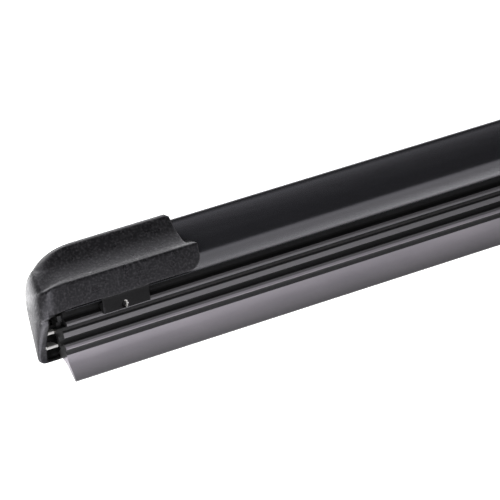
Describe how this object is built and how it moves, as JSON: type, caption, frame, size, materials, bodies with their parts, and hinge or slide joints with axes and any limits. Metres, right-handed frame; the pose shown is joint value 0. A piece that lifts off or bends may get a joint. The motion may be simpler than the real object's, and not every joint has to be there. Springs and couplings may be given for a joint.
{
  "type": "flat wiper blade",
  "caption": "Flat beam wiper blade: hollow-faced spoiler, sprung rails, leaning rubber lip, moulded end caps and a centre connector with a swinging hook-arm adapter.",
  "frame": {"origin": "middle of the pivot pin, on the axis of the tube that the arm's hook bends round", "axes": "+X along the blade, +Y towards the leeward side (the spoiler's hollow face looks towards -Y), +Z away from the glass"},
  "size_m": [0.4094, 0.0178, 0.0408],
  "materials": {
    "wiping_rubber": "matte, graphite coated",
    "rail": "black coated spring steel",
    "spoiler": "smooth satin",
    "end_cap": "fine moulded grain",
    "connector": "fine moulded grain",
    "pin": "turned, bright",
    "adapter": "smooth satin"
  },
  "bodies": {
    "adapter": {"hook_adapter": "adapter"},
    "blade": {"wiping_rubber": "wiping_rubber", "rail_windward": "rail", "rail_leeward": "rail", "spoiler_left": "spoiler", "spoiler_right": "spoiler", "end_cap_left": "end_cap", "end_cap_right": "end_cap", "connector_base": "connector", "pivot_pin": "pin", "pin_washer": "pin"}
  },
  "joints": [
    {"name": "blade_swing", "type": "hinge", "parent": "adapter", "child": "blade", "pos_m": [0, 0, 0], "axis": [0, 1, 0], "range_deg": [-12, 12]}
  ]
}
